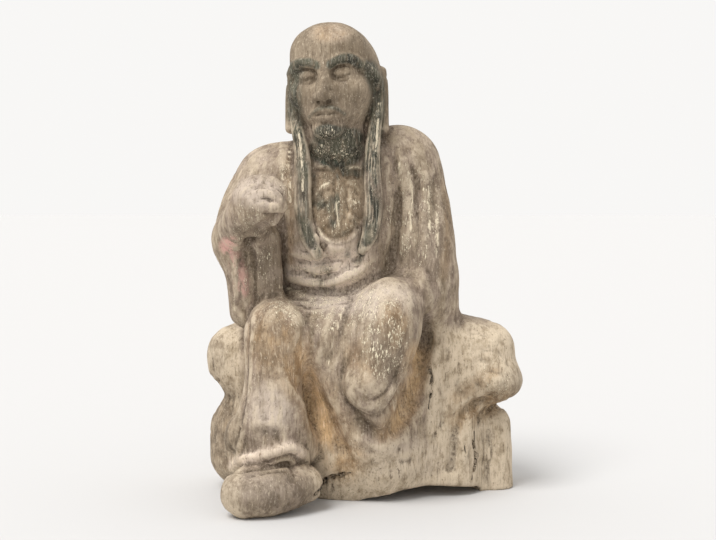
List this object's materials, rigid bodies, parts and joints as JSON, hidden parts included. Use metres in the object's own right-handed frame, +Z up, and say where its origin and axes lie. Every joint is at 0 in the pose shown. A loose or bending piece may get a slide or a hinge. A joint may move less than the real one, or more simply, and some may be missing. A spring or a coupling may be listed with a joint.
{
  "type": "wooden monk statue",
  "caption": "Carved wooden statue of a seated, bald monk with very long brow locks, one fist raised before the chest, on a rough rock seat, weathered and with worn paint",
  "frame": {"origin": "centre of the bounding box in plan, on the flat underside that the statue stands on", "axes": "+Z up, the figure faces -Y, +X at the viewer's right"},
  "size_m": [0.4132, 0.2778, 0.6003],
  "materials": {
    "carved_wood": "weathered bare wood with worn remains of paint"
  },
  "bodies": {
    "root": {"monk_on_rock": "carved_wood"}
  },
  "joints": []
}
